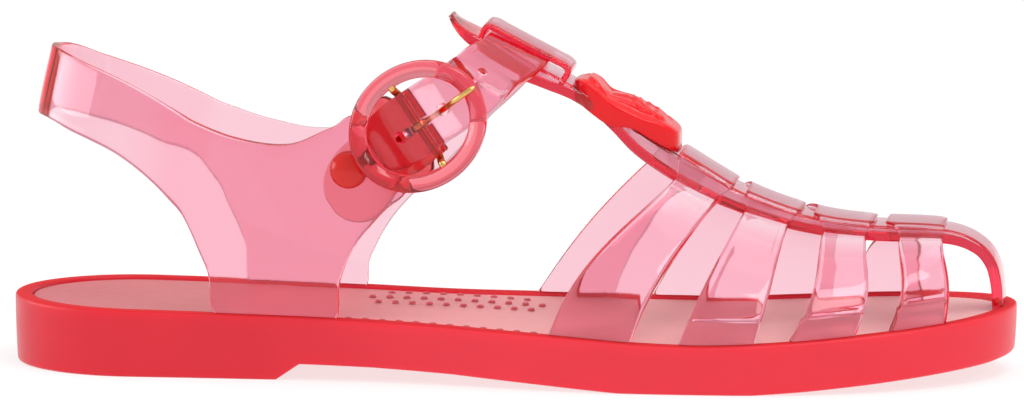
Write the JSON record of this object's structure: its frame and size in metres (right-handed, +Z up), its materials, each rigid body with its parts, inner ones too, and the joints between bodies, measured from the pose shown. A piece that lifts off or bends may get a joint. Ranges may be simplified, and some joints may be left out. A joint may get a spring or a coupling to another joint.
{
  "type": "jelly fisherman sandal",
  "caption": "Translucent moulded fisherman sandal: T-bar with cross bands, keeper loop, heel sling and ankle strap with an oval buckle, on a low-heeled sole.",
  "frame": {"origin": "middle of the sole's plan box, on the floor plane", "axes": "+X to the toe, +Y to the medial side, +Z up"},
  "size_m": [0.255, 0.0872, 0.0902],
  "materials": {
    "sole": "translucent red PVC, satin gloss",
    "insole": "paler pink PVC, matt",
    "upper_vamp": "translucent pink PVC, gloss",
    "upper_quarter": "translucent pink PVC, gloss",
    "badge": "deep red PVC, gloss",
    "buckle_ring": "translucent pink, gloss",
    "buckle_bar": "gold-coloured metal, polished",
    "buckle_prong": "gold-coloured metal, polished",
    "rivet": "red PVC, gloss"
  },
  "bodies": {
    "root": {"sole": "sole", "insole": "insole", "upper_vamp": "upper_vamp", "upper_quarter": "upper_quarter", "badge": "badge", "buckle_ring": "buckle_ring", "buckle_bar": "buckle_bar", "buckle_prong": "buckle_prong", "rivet": "rivet"}
  },
  "joints": []
}
